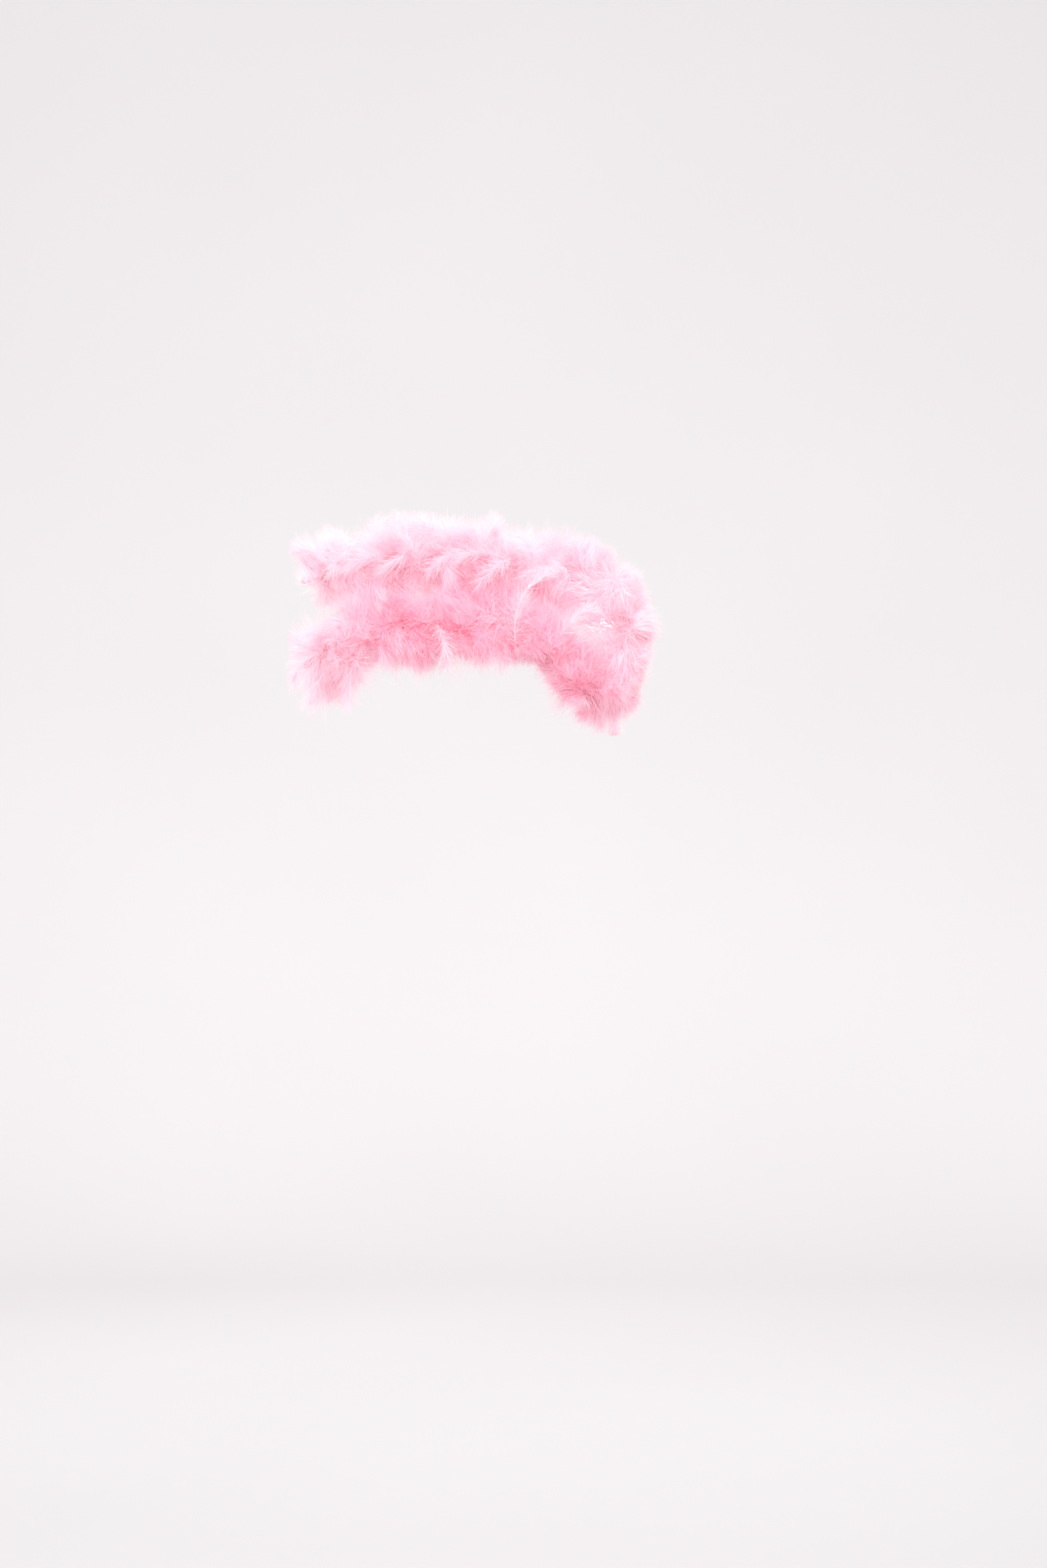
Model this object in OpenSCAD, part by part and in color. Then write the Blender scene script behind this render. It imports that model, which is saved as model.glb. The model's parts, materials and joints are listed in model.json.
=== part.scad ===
// Marabou feather boa, doubled back on itself and hung from a garment's edge by thread tacks.
// X runs along the boa's back run, Z is up and -Y is the side that faces out.
// The origin is the middle of the sewn line, where the tacks meet the garment.

/* [Marabou tufts] */
// How many tufts of down are bound along the core
tuft_count = 34; // [33:1:34]
// Radius of a full tuft
tuft_r = 34; // [30:0.5:34]
// Radius of the tuft squeezed at the middle of the hairpin turn
turn_tuft_r = 20; // [16:0.5:20]
// Thickness of a tuft where it meets the core
tuft_root = 15.6; // [13:0.2:15.6]
// Thickness of a tuft at its rim
tuft_rim = 2; // [1.2:0.1:2]
// Radius of the passage for the core through each tuft
tuft_bore_r = 5.2; // [5.2:0.1:5.6]

/* [Core] */
// Radius of one core string
string_r = 1; // [0.8:0.05:1]
// Radius of the helix in which each of the two strings is laid
lay_r = 1.15; // [1.15:0.05:1.2]
// Length of one full turn of the laid strings
lay_pitch = 19; // [18:1:24]
// Gap left in the core at each flexing place
flex_gap = 2.4; // [2.2:0.1:3]

/* [Quills and binding] */
// Bound plumes whose quills ring the core in one tuft
quills_per_tuft = 6; // [4:1:8]
// Radius of a quill
quill_r = 0.35; // [0.25:0.05:0.35]
// Length of quill that lies along the core
quill_len = 6; // [4:0.5:6]
// Radius of the ring of quills round the core
quill_ring_r = 2.85; // [2.8:0.05:2.85]
// Radius of the binding thread
thread_r = 0.2; // [0.15:0.01:0.2]
// Radius of the helix that the binding thread follows over the quills
thread_lay_r = 3.75; // [3.7:0.01:3.8]

/* [Ends] */
// Outer radius of the whipping on each end
whipping_r = 3.2; // [2.8:0.1:3.4]
// Inner radius of the whipping, round the laid strings
whipping_bore_r = 2.3; // [2.25:0.01:2.35]
// Length of the whipping
whipping_len = 14; // [10:0.5:14]
// Thickness of the dab of glue that seals each end
seal_len = 2; // [1.5:0.1:2]

/* [Garment tacks] */
// Radius of the tacking thread
tack_r = 0.4; // [0.25:0.05:0.45]
// Radius of the loop that each tack makes round the core
tack_loop_r = 7.4; // [7.4:0.1:8.2]

/* [Hidden] */
DOWN_PINK = [1.00, 0.77, 0.87];
DEEP_PINK = [0.94, 0.52, 0.68];
STRING_PINK = [0.97, 0.66, 0.76];
QUILL_WHITE = [0.99, 0.94, 0.95];
THREAD_PINK = [0.93, 0.50, 0.62];
GLUE = [0.96, 0.88, 0.86];

// The core's centreline: the back run from the upper left end, the turn down the right side and
// round its hairpin, then the front run back to the lower left end. The outermost point at each
// end only steers the curve.
ROUTE = [
    [-190, -10, -22], [-166, -10, -15], [-142, -10, -8], [-118, -10, -1], [-94, -10, 2],
    [-70, -10, 3], [-47, -10, 3], [-23, -10, 2], [0, -10, 0], [23, -10, -2],
    [46, -10, -4], [68, -10, -7], [90, -10, -10], [111, -12, -16], [126, -16, -31],
    [132, -21, -52], [132, -25, -73], [132, -30, -93], [125, -34, -112], [109, -38, -122],
    [90, -42, -118], [75, -46, -105], [61, -49, -89], [46, -51, -73], [29, -52, -63],
    [9, -52, -57], [-12, -52, -55], [-34, -52, -54], [-56, -52, -55], [-78, -52, -58],
    [-99, -52, -63], [-120, -52, -72], [-141, -52, -83], [-162, -52, -94], [-183, -52, -105]
];
ROUTE_SPANS = len(ROUTE) - 3;
ROUTE_STEP = 1 / 16;

// Each length of the boa that moves as one: its name, its first tuft and its last.
RUNS = [
    ["upper_end", 0, 2],
    ["back_run", 3, 11],
    ["right_turn", 12, 23],
    ["front_run", 24, 30],
    ["front_end", 31, tuft_count - 1]
];
// The gaps in which the tacks sit, counted in tufts from the upper left end.
TACK_PLACES = [3.5 : 2 : 9.5];
// The middle of the hairpin turn, and how far round it tufts stay squeezed, both in tufts.
TURN_TUFT = 18.7;
TURN_SPREAD = 2.6;
// Bare core between the last tuft's root and the whipping.
END_NECK = 1.2;
// How far the strings stop short of the seals, and of the gaps between the runs.
STRING_TUCK = 0.5;
// Steps of the swept tubes for each turn of their lay, and the sides of the tubes.
STRING_STEPS = 8;
STRING_SIDES = 8;
THREAD_STEPS = 12;
THREAD_SIDES = 6;

function unit(v) = v / norm(v);

// A point on the curve through ROUTE, with u counted in spans from the second point.
function span_point(u) =
    let (k = min(floor(u), ROUTE_SPANS - 1), t = u - k,
         a = ROUTE[k], b = ROUTE[k + 1], c = ROUTE[k + 2], d = ROUTE[k + 3])
    0.5 * (2 * b + (c - a) * t + (2 * a - 5 * b + 4 * c - d) * t * t
           + (3 * b - a - 3 * c + d) * t * t * t);

// Length along the curve against u, so that places can be given in millimetres of boa.
LENGTHS = [
    for (u = 0, s = 0; u <= ROUTE_SPANS;
         s = s + norm(span_point(min(u + ROUTE_STEP, ROUTE_SPANS)) - span_point(u)),
         u = u + ROUTE_STEP)
        [s, u]
];
BOA_LENGTH = LENGTHS[len(LENGTHS) - 1][0];

function route(s) = span_point(lookup(s, LENGTHS));
function heading(s) = unit(route(min(s + 0.5, BOA_LENGTH)) - route(max(s - 0.5, 0)));

END_LENGTH = seal_len + whipping_len + END_NECK + tuft_root / 2;
TUFT_PITCH = (BOA_LENGTH - 2 * END_LENGTH) / (tuft_count - 1);

function tuft_place(i) = END_LENGTH + i * TUFT_PITCH;
function tuft_radius(i) = tuft_r - (tuft_r - turn_tuft_r) * exp(-pow((i - TURN_TUFT) / TURN_SPREAD, 2));
function tuft_name(i) = str("marabou_tuft_", i < 9 ? "0" : "", i + 1);
function run_start(run) = run[1] == 0 ? seal_len : tuft_place(run[1] - 0.5) + flex_gap / 2;
function run_end(run) =
    run[2] == tuft_count - 1 ? BOA_LENGTH - seal_len : tuft_place(run[2] + 0.5) - flex_gap / 2;

// Puts a shape drawn along +Z on the core at s, pointing along it.
module on_core(s) {
    t = heading(s);
    translate(route(s)) rotate([0, acos(t.z), atan2(t.y, t.x)]) children();
}

// A point on a helix round the core.
function helix(s, radius, phase) =
    let (t = heading(s), side = unit(cross([0, 1, 0], t)), up = cross(t, side),
         angle = 360 * s / lay_pitch + phase)
    route(s) + radius * (cos(angle) * side + sin(angle) * up);

// A round tube swept along a list of points.
module tube(path, radius, sides) {
    last = len(path) - 1;
    rings = [
        for (k = [0 : last])
            let (t = unit(path[min(k + 1, last)] - path[max(k - 1, 0)]),
                 a = unit(cross([0, 1, 0], t)), b = cross(t, a))
            for (j = [0 : sides - 1])
                path[k] + radius * (cos(360 * j / sides) * a + sin(360 * j / sides) * b)
    ];
    walls = [
        for (k = [0 : last - 1]) for (j = [0 : sides - 1])
            let (here = k * sides, next = here + sides, n = (j + 1) % sides)
            each [[here + j, next + j, next + n], [here + j, next + n, here + n]]
    ];
    start_cap = [for (j = [0 : sides - 1]) j];
    end_cap = [for (j = [sides - 1 : -1 : 0]) last * sides + j];
    polyhedron(rings, concat(walls, [start_cap, end_cap]));
}

// A string or thread laid in a helix over one length of the boa.
module laid(from, to, helix_r, radius, lay_steps, sides, phase) {
    steps = ceil((to - from) / lay_pitch * lay_steps);
    tube([for (k = [0 : steps]) helix(from + (to - from) * k / steps, helix_r, phase)],
         radius, sides);
}

// One tuft: plumes bound at one place, whose down stands out round the core as a thick-rooted disc.
module marabou_tuft(i) {
    r = tuft_radius(i);
    rim = tuft_rim / 2;
    color(i % 2 == 0 ? DOWN_PINK : DEEP_PINK)
        on_core(tuft_place(i))
            rotate_extrude($fn = 96)
                polygon(concat(
                    [[tuft_bore_r, -tuft_root / 2]],
                    [for (a = [-90 : 45 : 90]) [r - rim + rim * cos(a), rim * sin(a)]],
                    [[tuft_bore_r, tuft_root / 2]]
                ));
}

// One of the two strings that are laid round each other.
module core_string(run, phase) {
    color(STRING_PINK)
        laid(run_start(run) + STRING_TUCK, run_end(run) - STRING_TUCK,
             lay_r, string_r, STRING_STEPS, STRING_SIDES, phase);
}

// The quills of one length's plumes, lying along the laid strings.
module quills(run) {
    color(QUILL_WHITE)
        for (i = [run[1] : run[2]])
            on_core(tuft_place(i))
                for (q = [0 : quills_per_tuft - 1])
                    rotate([0, 0, 360 * q / quills_per_tuft])
                        translate([quill_ring_r, 0, 0])
                            cylinder(r = quill_r, h = quill_len, center = true, $fn = 24);
}

// The thread wound over the quills, from just outside the run's first tuft to just outside its last.
module binding_thread(run) {
    color(THREAD_PINK)
        laid(tuft_place(run[1] - 0.5) + flex_gap / 2, tuft_place(run[2] + 0.5) - flex_gap / 2,
             thread_lay_r, thread_r, THREAD_STEPS, THREAD_SIDES, 180);
}

// The whipping round an end of the core, with its middle at s.
module whipping(s) {
    color(THREAD_PINK)
        on_core(s)
            difference() {
                cylinder(r = whipping_r, h = whipping_len, center = true, $fn = 64);
                cylinder(r = whipping_bore_r, h = whipping_len + 1, center = true, $fn = 64);
            }
}

// The dab of glue on an end: flat where it meets the strings, domed where it faces out.
module end_seal(s, turn) {
    color(GLUE)
        on_core(s)
            rotate([turn, 0, 0])
                rotate_extrude($fn = 64)
                    polygon(concat(
                        [[0, 0]],
                        [for (a = [0 : 22.5 : 90]) [(whipping_r - 0.2) * cos(a), seal_len * sin(a)]]
                    ));
}

// The thread loops that hold the back run to the garment's edge.
module garment_tacks() {
    color(THREAD_PINK)
        for (place = TACK_PLACES)
            let (p = route(tuft_place(place)))
            translate([p.x, -tack_loop_r, p.z])
                rotate([0, 90, 0])
                    rotate_extrude($fn = 64)
                        translate([tack_loop_r, 0])
                            circle(r = tack_r, $fn = 24);
}

for (i = [0 : tuft_count - 1])
    marabou_tuft(i);
for (run = RUNS) {
    core_string(run, 0);
    core_string(run, 180);
    quills(run);
    binding_thread(run);
}
whipping(seal_len + whipping_len / 2);  // whipping_upper_end
whipping(BOA_LENGTH - seal_len - whipping_len / 2);  // whipping_front_end
end_seal(seal_len, 180);  // end_seal_upper_end
end_seal(BOA_LENGTH - seal_len, 0);  // end_seal_front_end
garment_tacks();
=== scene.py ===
"""Marabou feather boa: the down, the core and the ends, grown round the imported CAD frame."""

import json
import math

import bpy
import numpy as np
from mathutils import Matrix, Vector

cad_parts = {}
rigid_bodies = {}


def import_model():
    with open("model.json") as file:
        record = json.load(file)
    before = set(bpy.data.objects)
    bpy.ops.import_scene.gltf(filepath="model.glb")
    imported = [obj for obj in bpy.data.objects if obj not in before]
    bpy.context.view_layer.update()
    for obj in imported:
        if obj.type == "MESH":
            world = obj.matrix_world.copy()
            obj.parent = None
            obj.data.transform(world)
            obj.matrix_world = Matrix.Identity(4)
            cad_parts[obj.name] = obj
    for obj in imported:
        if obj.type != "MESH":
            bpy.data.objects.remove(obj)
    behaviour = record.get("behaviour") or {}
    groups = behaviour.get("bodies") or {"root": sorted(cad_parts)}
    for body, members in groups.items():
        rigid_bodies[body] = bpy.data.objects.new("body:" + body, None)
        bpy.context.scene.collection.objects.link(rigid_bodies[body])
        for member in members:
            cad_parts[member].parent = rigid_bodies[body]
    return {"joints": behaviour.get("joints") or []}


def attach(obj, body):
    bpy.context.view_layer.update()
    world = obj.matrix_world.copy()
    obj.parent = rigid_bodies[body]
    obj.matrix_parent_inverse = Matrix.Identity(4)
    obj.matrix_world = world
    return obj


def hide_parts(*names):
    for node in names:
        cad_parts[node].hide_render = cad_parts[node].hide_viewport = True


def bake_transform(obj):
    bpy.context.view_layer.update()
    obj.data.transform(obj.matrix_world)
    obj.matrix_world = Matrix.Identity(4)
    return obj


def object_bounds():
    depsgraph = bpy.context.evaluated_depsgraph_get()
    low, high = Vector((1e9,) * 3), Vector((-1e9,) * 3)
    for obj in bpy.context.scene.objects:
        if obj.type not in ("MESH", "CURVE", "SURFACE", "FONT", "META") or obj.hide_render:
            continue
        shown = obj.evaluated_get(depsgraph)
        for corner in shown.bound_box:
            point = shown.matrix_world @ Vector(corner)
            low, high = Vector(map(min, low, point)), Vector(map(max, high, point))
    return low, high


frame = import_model()
CAD_BOX = [list(corner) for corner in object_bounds()]

MM = 0.001

# ---------------------------------------------------------------- the boa's route, as in part.scad

# The core's centreline in millimetres: back run, hairpin turn, front run.
ROUTE = np.array([
    [-190, -10, -22], [-166, -10, -15], [-142, -10, -8], [-118, -10, -1], [-94, -10, 2],
    [-70, -10, 3], [-47, -10, 3], [-23, -10, 2], [0, -10, 0], [23, -10, -2],
    [46, -10, -4], [68, -10, -7], [90, -10, -10], [111, -12, -16], [126, -16, -31],
    [132, -21, -52], [132, -25, -73], [132, -30, -93], [125, -34, -112], [109, -38, -122],
    [90, -42, -118], [75, -46, -105], [61, -49, -89], [46, -51, -73], [29, -52, -63],
    [9, -52, -57], [-12, -52, -55], [-34, -52, -54], [-56, -52, -55], [-78, -52, -58],
    [-99, -52, -63], [-120, -52, -72], [-141, -52, -83], [-162, -52, -94], [-183, -52, -105],
]) * MM
ROUTE_SPANS = len(ROUTE) - 3
ROUTE_STEPS_PER_SPAN = 16

TUFT_COUNT = 34
END_LENGTH = 25 * MM
WHIPPING_LENGTH = 14 * MM
WHIPPING_PITCH = 0.56 * MM
WHIPPING_R = 3.2 * MM
SEAL_LENGTH = 2 * MM
STRING_R = 1.0 * MM
LAY_R = 1.15 * MM
LAY_PITCH = 19 * MM
QUILL_RING_R = 2.85 * MM
THREAD_LAY_R = 3.75 * MM
TACK_PLACES = [3.5, 5.5, 7.5, 9.5]
TACK_LOOP_R = 7.4 * MM

Y_AXIS = np.array([0.0, 1.0, 0.0])


def unit(v):
    """Vectors scaled to length one."""
    return v / np.maximum(np.linalg.norm(v, axis=-1, keepdims=True), 1e-12)


def span_point(u):
    """Points on the curve through ROUTE, with u counted in spans from the second point."""
    u = np.asarray(u, float)
    k = np.clip(np.floor(u).astype(int), 0, ROUTE_SPANS - 1)
    t = (u - k)[..., None]
    a, b, c, d = ROUTE[k], ROUTE[k + 1], ROUTE[k + 2], ROUTE[k + 3]
    return 0.5 * (2 * b + (c - a) * t + (2 * a - 5 * b + 4 * c - d) * t ** 2
                  + (3 * b - a - 3 * c + d) * t ** 3)


SPAN_TABLE = np.linspace(0, ROUTE_SPANS, ROUTE_SPANS * ROUTE_STEPS_PER_SPAN + 1)
STEP_LENGTHS = np.linalg.norm(np.diff(span_point(SPAN_TABLE), axis=0), axis=1)
LENGTH_TABLE = np.concatenate([[0.0], np.cumsum(STEP_LENGTHS)])
BOA_LENGTH = LENGTH_TABLE[-1]
TUFT_PITCH = (BOA_LENGTH - 2 * END_LENGTH) / (TUFT_COUNT - 1)


def route(s):
    """Points on the core at lengths s along the boa."""
    return span_point(np.interp(s, LENGTH_TABLE, SPAN_TABLE))


def core_frame(s):
    """The core's direction at lengths s, and two directions square to it."""
    step = 0.5 * MM
    ahead = np.minimum(np.asarray(s) + step, BOA_LENGTH)
    behind = np.maximum(np.asarray(s) - step, 0.0)
    along = unit(route(ahead) - route(behind))
    side = unit(np.cross(Y_AXIS, along))
    return along, side, np.cross(along, side)


def tuft_place(i):
    """The length along the boa at which tuft i grows."""
    return END_LENGTH + i * TUFT_PITCH


# ---------------------------------------------------------------- which body each place moves with

BLEND_HALF = 1.6 * TUFT_PITCH


def joint_places():
    """Each joint's bodies, in the order that the core passes them, and its length along the boa."""
    order = ["upper_end", "back_run", "right_turn", "front_run", "front_end"]
    samples = np.linspace(0, BOA_LENGTH, 3000)
    points = route(samples)
    places = []
    for joint in frame["joints"]:
        pair = sorted((joint["parent"], joint["child"]), key=order.index)
        gaps = np.linalg.norm(points - np.array(joint["pos_m"]), axis=1)
        places.append((samples[int(np.argmin(gaps))], pair[0], pair[1]))
    return sorted(places)


JOINTS = joint_places()


def body_at(s):
    """The body that holds the core at length s."""
    body = JOINTS[0][1]
    for place, _, after in JOINTS:
        if s > place:
            body = after
    return body


def hold(piece, s, always=False):
    """Makes a piece whose middle is at length s ride its body, or, near a joint, leaves it with no
    body and its place baked into its mesh.
    """
    place, before, after = min(JOINTS, key=lambda joint: abs(joint[0] - s))
    if always or abs(place - s) < BLEND_HALF + TUFT_PITCH:
        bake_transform(piece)
    else:
        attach(piece, body_at(s))


# ---------------------------------------------------------------- meshes

TONES = 16
UV_NAME = "OFBake"
TUBE_UV_NAME = "Lay"
TUBE_UV_LENGTH = 10 * MM


def carried_frame(tangent):
    """Two directions square to each tangent (k, 3), carried along without twisting."""
    a = np.empty_like(tangent)
    start = np.eye(3)[int(np.argmin(np.abs(tangent[0])))]
    for k, way in enumerate(tangent):
        start = unit(start - (start @ way) * way)
        a[k] = start
    return a, np.cross(tangent, a)


class Strands:
    """Gathers ribbons, hairs and tubes, and makes one mesh of them."""

    def __init__(self):
        self.points, self.uvs, self.quads, self.tris = [], [], [], []
        self.count = 0

    def ribbons(self, lines, widths, across, tones):
        """Adds ribbons along lines (n, k, 3).

        Their widths are (n, k), the directions of their widths (n, 3) and their tones (n).
        """
        n, k = lines.shape[:2]
        half = 0.5 * widths[..., None] * across[:, None, :]
        rows = np.stack([lines - half, lines + half], axis=2)
        v = np.broadcast_to(np.linspace(0.03, 0.97, k)[None, :, None], (n, k, 2))
        u = (tones[:, None, None] + np.array([0.25, 0.75])) / TONES
        u = np.broadcast_to(u, (n, k, 2))
        base = self.count + np.arange(n)[:, None] * k * 2
        low = base + np.arange(k - 1)[None, :] * 2
        quads = np.stack([low, low + 1, low + 3, low + 2], axis=-1).reshape(-1, 4)
        self.points.append(rows.reshape(-1, 3))
        self.uvs.append(np.stack([u, v], axis=-1).reshape(-1, 2))
        self.quads.append(quads)
        self.count += n * k * 2

    def hairs(self, roots, tips, widths, across, tones, v_root, v_tip):
        """Adds one thin triangle from each root to its tip."""
        n = len(roots)
        half = 0.5 * widths[:, None] * across
        corners = np.stack([roots - half, roots + half, tips], axis=1)
        u = (tones[:, None] + np.array([0.3, 0.7, 0.5])) / TONES
        v = np.stack([v_root, v_root, v_tip], axis=1)
        self.points.append(corners.reshape(-1, 3))
        self.uvs.append(np.stack([u, v], axis=-1).reshape(-1, 2))
        self.tris.append(self.count + np.arange(n * 3).reshape(n, 3))
        self.count += n * 3

    def tube(self, path, radii):
        """Adds a closed tube along path (k, 3), with radii (k, m) for its k rings of m corners."""
        k, m = radii.shape
        tangent = unit(np.gradient(path, axis=0))
        a, b = carried_frame(tangent)
        theta = 2 * math.pi * np.arange(m) / m
        ring = np.cos(theta)[None, :, None] * a[:, None] + np.sin(theta)[None, :, None] * b[:, None]
        points = path[:, None] + radii[..., None] * ring
        caps = np.stack([path[0], path[-1]])
        run = np.concatenate([[0.0], np.cumsum(np.linalg.norm(np.diff(path, axis=0), axis=1))])
        uv = np.stack(np.broadcast_arrays(theta[None] / (2 * math.pi), run[:, None] / TUBE_UV_LENGTH),
                      axis=-1)
        cap_uv = np.array([[0.5, 0.0], [0.5, run[-1] / TUBE_UV_LENGTH]])
        self.points.append(np.concatenate([points.reshape(-1, 3), caps]))
        self.uvs.append(np.concatenate([uv.reshape(-1, 2), cap_uv]))
        here = np.arange(m)
        following = (here + 1) % m
        low = self.count + np.arange(k - 1)[:, None] * m
        walls = np.stack([low + here, low + following, low + m + following, low + m + here], axis=-1)
        last = self.count + (k - 1) * m
        start_cap, end_cap = self.count + k * m, self.count + k * m + 1
        self.quads.append(walls.reshape(-1, 4))
        self.tris.append(np.stack([self.count + following, self.count + here,
                                   np.full(m, start_cap)], axis=-1))
        self.tris.append(np.stack([last + here, last + following, np.full(m, end_cap)], axis=-1))
        self.count += k * m + 2

    def mesh(self, name, uv_name=UV_NAME):
        """One mesh of all that was added, with the map that its material follows."""
        points = np.concatenate(self.points)
        uvs = np.concatenate(self.uvs)
        quads = np.concatenate(self.quads) if self.quads else np.zeros((0, 4), int)
        tris = np.concatenate(self.tris) if self.tris else np.zeros((0, 3), int)
        corners = np.concatenate([quads.ravel(), tris.ravel()]).astype(np.int32)
        totals = np.concatenate([np.full(len(quads), 4), np.full(len(tris), 3)]).astype(np.int32)
        starts = np.concatenate([[0], np.cumsum(totals)[:-1]]).astype(np.int32)
        mesh = bpy.data.meshes.new(name)
        mesh.vertices.add(len(points))
        mesh.vertices.foreach_set("co", points.astype(np.float32).ravel())
        mesh.loops.add(len(corners))
        mesh.loops.foreach_set("vertex_index", corners)
        mesh.polygons.add(len(totals))
        mesh.polygons.foreach_set("loop_start", starts)
        mesh.polygons.foreach_set("loop_total", totals)
        mesh.polygons.foreach_set("use_smooth", np.ones(len(totals), bool))
        layer = mesh.uv_layers.new(name=uv_name)
        layer.data.foreach_set("uv", uvs[corners].astype(np.float32).ravel())
        mesh.update(calc_edges=True)
        return mesh


def put(name, mesh, material):
    """A new object for a mesh, with its material."""
    piece = bpy.data.objects.new(name, mesh)
    bpy.context.scene.collection.objects.link(piece)
    piece.data.materials.append(material)
    return piece


# ---------------------------------------------------------------- materials

def node_material(name):
    """A new node material: its tree, its Principled shader and its output."""
    material = bpy.data.materials.new(name)
    material.use_nodes = True
    tree = material.node_tree
    return material, tree, tree.nodes["Principled BSDF"], tree.nodes["Material Output"]


def ramp(tree, stops):
    """A colour ramp with (place, colour) stops."""
    node = tree.nodes.new("ShaderNodeValToRGB")
    elements = node.color_ramp.elements
    while len(elements) < len(stops):
        elements.new(0.5)
    for element, (place, colour) in zip(elements, stops):
        element.position = place
        element.color = (*colour, 1.0)
    return node


def uv_split(tree, uv_name):
    """A map's node, and a Separate XYZ node that gives its two coordinates."""
    uv = tree.nodes.new("ShaderNodeUVMap")
    uv.uv_map = uv_name
    split = tree.nodes.new("ShaderNodeSeparateXYZ")
    tree.links.new(uv.outputs["UV"], split.inputs[0])
    return uv, split


def remap(tree, value, low, high):
    """value, which runs from 0 to 1, mapped to low to high."""
    node = tree.nodes.new("ShaderNodeMapRange")
    node.inputs["To Min"].default_value = low
    node.inputs["To Max"].default_value = high
    tree.links.new(value, node.inputs["Value"])
    return node.outputs["Result"]


def scaled_noise(tree, vector, scale, noise_scale, detail):
    """Noise over a vector that is first stretched by scale."""
    mapping = tree.nodes.new("ShaderNodeMapping")
    mapping.inputs["Scale"].default_value = scale
    noise = tree.nodes.new("ShaderNodeTexNoise")
    noise.inputs["Scale"].default_value = noise_scale
    noise.inputs["Detail"].default_value = detail
    tree.links.new(vector, mapping.inputs["Vector"])
    tree.links.new(mapping.outputs["Vector"], noise.inputs["Vector"])
    return noise.outputs["Fac"]


def bump(tree, shader, height, strength, distance):
    """Makes a height the shader's bump."""
    node = tree.nodes.new("ShaderNodeBump")
    node.inputs["Strength"].default_value = strength
    node.inputs["Distance"].default_value = distance
    tree.links.new(height, node.inputs["Height"])
    tree.links.new(node.outputs["Normal"], shader.inputs["Normal"])


def down_material():
    """Dyed down, with painted shade: deeper pink at the roots, for the shade in the crevices between
    plumes, and at the tips, to dim the lit fringe; each barb a little lighter or darker.
    """
    material, tree, shader, output = node_material("dyed_down_painted_shade")
    uv, split = uv_split(tree, UV_NAME)
    # Painted shade: the roots are deeper pink where the crevices between plumes are shaded, and the
    # tips deeper to dim the lit fringe.
    along = ramp(tree, [(0.0, (0.99, 0.82, 0.885)), (0.25, (0.999, 0.945, 0.967)),
                        (0.6, (0.999, 0.96, 0.975)), (1.0, (0.98, 0.79, 0.85))])
    tone = ramp(tree, [(0.0, (0.995, 0.725, 0.825)), (0.5, (0.998, 0.865, 0.92)),
                       (1.0, (1.0, 0.99, 0.995))])
    mix = tree.nodes.new("ShaderNodeMix")
    mix.data_type = "RGBA"
    mix.blend_type = "MULTIPLY"
    mix.inputs["Factor"].default_value = 1.0
    tree.links.new(split.outputs["Y"], along.inputs["Fac"])
    tree.links.new(split.outputs["X"], tone.inputs["Fac"])
    tree.links.new(along.outputs["Color"], mix.inputs["A"])
    tree.links.new(tone.outputs["Color"], mix.inputs["B"])
    tree.links.new(mix.outputs["Result"], shader.inputs["Base Color"])
    tree.links.new(remap(tree, split.outputs["Y"], 0.55, 0.85), shader.inputs["Roughness"])
    # Barbules ring each barb in fine ridges.
    ridges = tree.nodes.new("ShaderNodeTexWave")
    ridges.bands_direction = "Y"
    ridges.inputs["Scale"].default_value = 30.0
    ridges.inputs["Distortion"].default_value = 1.5
    tree.links.new(uv.outputs["UV"], ridges.inputs["Vector"])
    bump(tree, shader, ridges.outputs["Fac"], 0.25, 0.00005)
    shader.inputs["Sheen Weight"].default_value = 0.15
    shader.inputs["Sheen Tint"].default_value = (1.0, 0.85, 0.92, 1.0)
    through = tree.nodes.new("ShaderNodeBsdfTranslucent")
    blend = tree.nodes.new("ShaderNodeMixShader")
    blend.inputs["Fac"].default_value = 0.45
    tree.links.new(mix.outputs["Result"], through.inputs["Color"])
    tree.links.new(shader.outputs[0], blend.inputs[1])
    tree.links.new(through.outputs[0], blend.inputs[2])
    tree.links.new(blend.outputs[0], output.inputs["Surface"])
    return material


def thread_material(name, dark, light, rough_low, rough_high, sheen):
    """Twisted fibres: noise drawn out along the twist for colour, roughness and bump."""
    material, tree, shader, _ = node_material(name)
    uv, _ = uv_split(tree, TUBE_UV_NAME)
    turned_uv = tree.nodes.new("ShaderNodeMapping")
    turned_uv.inputs["Rotation"].default_value = (0.0, 0.0, 0.5)
    tree.links.new(uv.outputs["UV"], turned_uv.inputs["Vector"])
    fibres = scaled_noise(tree, turned_uv.outputs["Vector"], (14.0, 1.2, 1.0), 3.0, 4.0)
    soil = scaled_noise(tree, uv.outputs["UV"], (1.0, 0.25, 1.0), 2.0, 2.0)
    colour = ramp(tree, [(0.3, dark), (0.7, light)])
    blotch = ramp(tree, [(0.35, (0.86, 0.84, 0.85)), (0.65, (1.0, 1.0, 1.0))])
    product = tree.nodes.new("ShaderNodeMix")
    product.data_type = "RGBA"
    product.blend_type = "MULTIPLY"
    product.inputs["Factor"].default_value = 1.0
    tree.links.new(fibres, colour.inputs["Fac"])
    tree.links.new(soil, blotch.inputs["Fac"])
    tree.links.new(colour.outputs["Color"], product.inputs["A"])
    tree.links.new(blotch.outputs["Color"], product.inputs["B"])
    tree.links.new(product.outputs["Result"], shader.inputs["Base Color"])
    tree.links.new(remap(tree, fibres, rough_low, rough_high), shader.inputs["Roughness"])
    bump(tree, shader, fibres, 0.5, 0.0002)
    shader.inputs["Sheen Weight"].default_value = sheen
    return material


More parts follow.
